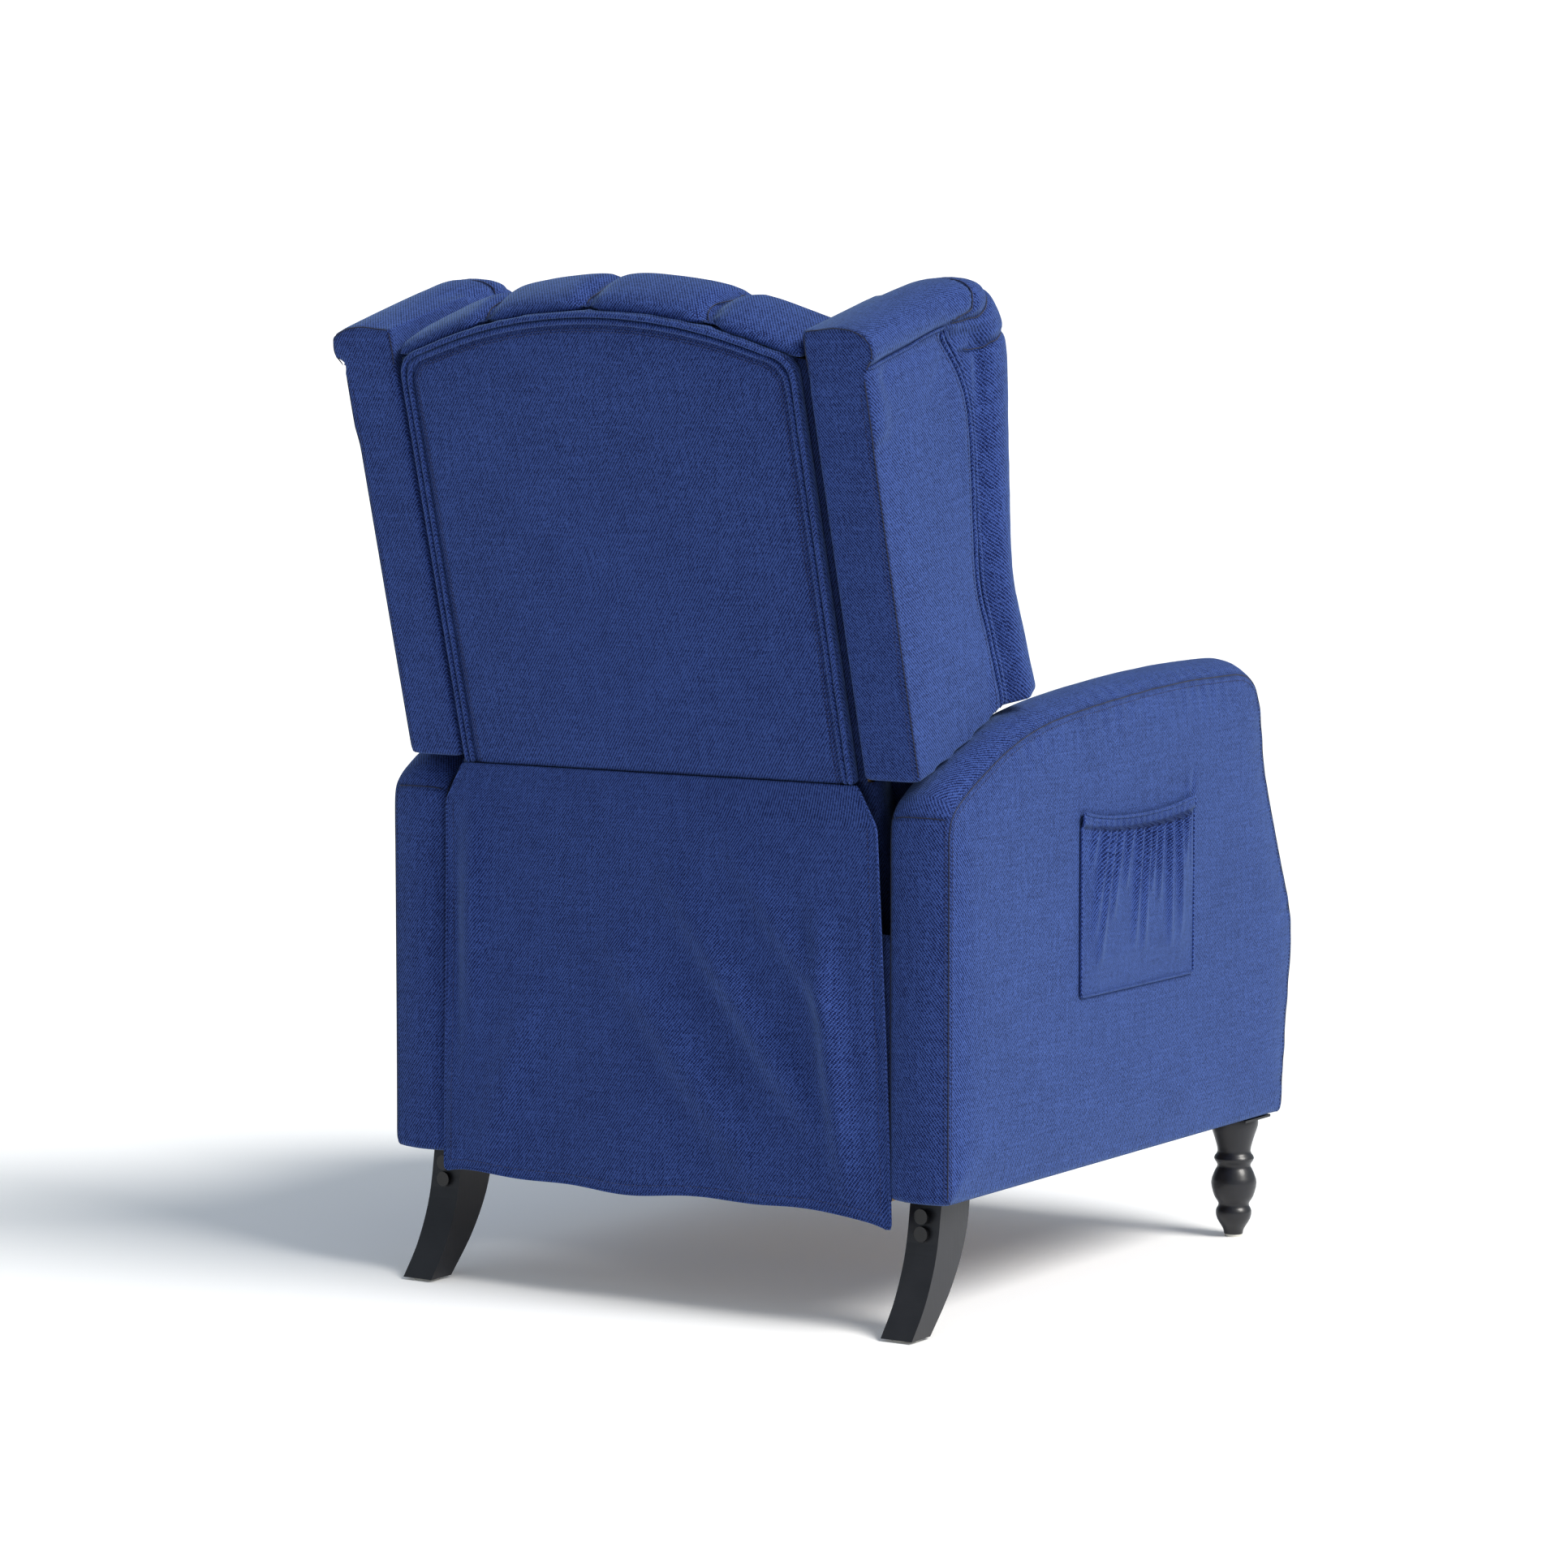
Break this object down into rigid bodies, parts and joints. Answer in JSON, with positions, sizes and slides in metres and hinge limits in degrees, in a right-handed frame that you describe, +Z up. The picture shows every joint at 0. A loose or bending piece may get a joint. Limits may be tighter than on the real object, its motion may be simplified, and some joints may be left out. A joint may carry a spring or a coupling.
{
  "type": "recliner armchair",
  "caption": "Wing-back push-back recliner armchair with a tufted back, sloping arms, a side pocket, a rear flap, turned front legs and swept rear legs",
  "frame": {"origin": "on the floor, centred under the chair's footprint, the back upright and the footrest closed", "axes": "+Z up, the chair faces -Y, +X to the left of a person sitting in it"},
  "size_m": [0.712, 0.8901, 1.0773],
  "materials": {
    "timber": "raw sawn",
    "black_lacquer": "satin black lacquer",
    "pale_plastic": "matte",
    "zinc_bolts": "zinc plated",
    "black_steel": "gloss black",
    "dark_steel": "satin powder coat",
    "spring_steel": "bare wire",
    "blue_fabric": "woven herringbone upholstery"
  },
  "bodies": {
    "base": {"left_arm_frame": "timber", "right_arm_frame": "timber", "left_arm_outer_panel": "blue_fabric", "right_arm_outer_panel": "blue_fabric", "left_arm_inner_panel": "blue_fabric", "right_arm_inner_panel": "blue_fabric", "left_arm_band": "blue_fabric", "right_arm_band": "blue_fabric", "side_pocket": "blue_fabric", "pocket_hem": "blue_fabric", "front_rail": "timber", "rear_rail": "timber", "left_front_leg": "black_lacquer", "right_front_leg": "black_lacquer", "left_rear_leg": "black_lacquer", "right_rear_leg": "black_lacquer", "leg_plates": "dark_steel", "rear_leg_bolts": "black_steel", "leg_glides": "pale_plastic", "left_base_rail": "dark_steel", "right_base_rail": "dark_steel", "rail_bolts": "zinc_bolts"},
    "seat": {"left_seat_rail": "dark_steel", "right_seat_rail": "dark_steel", "seat_frame": "timber", "seat_springs": "spring_steel", "seat_cushion": "blue_fabric", "cross_tube": "dark_steel"},
    "back": {"left_back_bracket": "dark_steel", "right_back_bracket": "dark_steel", "back_frame": "timber", "back_cushion": "blue_fabric", "back_buttons": "blue_fabric", "outside_back_panel": "blue_fabric", "left_wing_frame": "timber", "right_wing_frame": "timber", "left_wing_inner_pad": "blue_fabric", "right_wing_inner_pad": "blue_fabric", "left_wing_outer_pad": "blue_fabric", "right_wing_outer_pad": "blue_fabric", "left_wing_roll": "blue_fabric", "right_wing_roll": "blue_fabric", "left_wing_rear_cover": "blue_fabric", "right_wing_rear_cover": "blue_fabric"},
    "flap": {"rear_flap": "blue_fabric"},
    "front_swing": {"front_swing_links": "dark_steel"},
    "rear_swing": {"rear_swing_links": "dark_steel"},
    "drive_link": {"drive_links": "dark_steel"},
    "rear_crank": {"left_rear_crank": "dark_steel", "right_rear_crank": "dark_steel"},
    "front_crank": {"left_front_crank": "dark_steel", "right_front_crank": "dark_steel"},
    "coupler": {"left_coupler": "dark_steel", "right_coupler": "dark_steel"},
    "steering_link": {"left_steering_link": "dark_steel", "right_steering_link": "dark_steel"},
    "footrest": {"footrest_brackets": "dark_steel", "footrest_board": "timber", "footrest_pad": "blue_fabric"}
  },
  "joints": [
    {"name": "back_recline", "type": "hinge", "parent": "base", "child": "back", "pos_m": [0, 0.208, 0.44], "axis": [-1, 0, 0], "range_deg": [0, 35]},
    {"name": "flap_hang", "type": "hinge", "parent": "back", "child": "flap", "pos_m": [0, 0.3296, 0.55716], "axis": [1, 0, 0], "range_deg": [0, 35]},
    {"name": "front_swing", "type": "hinge", "parent": "base", "child": "front_swing", "pos_m": [0, -0.167, 0.3], "axis": [-1, 0, 0], "range_deg": [0, 25.33]},
    {"name": "seat_carry", "type": "hinge", "parent": "front_swing", "child": "seat", "pos_m": [0, -0.1479, 0.19167], "axis": [1, 0, 0], "range_deg": [0, 25.33]},
    {"name": "rear_swing", "type": "hinge", "parent": "base", "child": "rear_swing", "pos_m": [0, 0.023, 0.3], "axis": [-1, 0, 0], "range_deg": [0, 25.33]},
    {"name": "drive_link_turn", "type": "hinge", "parent": "seat", "child": "drive_link", "pos_m": [0, 0.053, 0.28], "axis": [1, 0, 0], "range_deg": [0, 3.6]},
    {"name": "rear_crank_turn", "type": "hinge", "parent": "seat", "child": "rear_crank", "pos_m": [0, -0.217, 0.285], "axis": [-1, 0, 0], "range_deg": [0, 142]},
    {"name": "front_crank_turn", "type": "hinge", "parent": "seat", "child": "front_crank", "pos_m": [0, -0.307, 0.285], "axis": [-1, 0, 0], "range_deg": [0, 142]},
    {"name": "coupler_turn", "type": "hinge", "parent": "rear_crank", "child": "coupler", "pos_m": [0, -0.112, 0.233], "axis": [1, 0, 0], "range_deg": [0, 142]},
    {"name": "steering_turn", "type": "hinge", "parent": "front_crank", "child": "steering_link", "pos_m": [0, -0.192, 0.22], "axis": [1, 0, 0], "range_deg": [0, 138.77]},
    {"name": "footrest_turn", "type": "hinge", "parent": "coupler", "child": "footrest", "pos_m": [0, -0.343, 0.274], "axis": [-1, 0, 0], "range_deg": [0, 82]}
  ],
  "couplings": [
    {"joint": "flap_hang", "follows": "back_recline", "ratio": 1},
    {"joint": "front_swing", "follows": "back_recline", "ratio": 0.72369},
    {"joint": "seat_carry", "follows": "back_recline", "ratio": 0.72369},
    {"joint": "rear_swing", "follows": "back_recline", "ratio": 0.72369},
    {"joint": "drive_link_turn", "follows": "back_recline", "ratio": 0.10271},
    {"joint": "rear_crank_turn", "follows": "back_recline", "ratio": 4.0571},
    {"joint": "front_crank_turn", "follows": "back_recline", "ratio": 4.0571},
    {"joint": "coupler_turn", "follows": "back_recline", "ratio": 4.0571},
    {"joint": "steering_turn", "follows": "back_recline", "ratio": 3.9649},
    {"joint": "footrest_turn", "follows": "back_recline", "ratio": 2.3429}
  ]
}
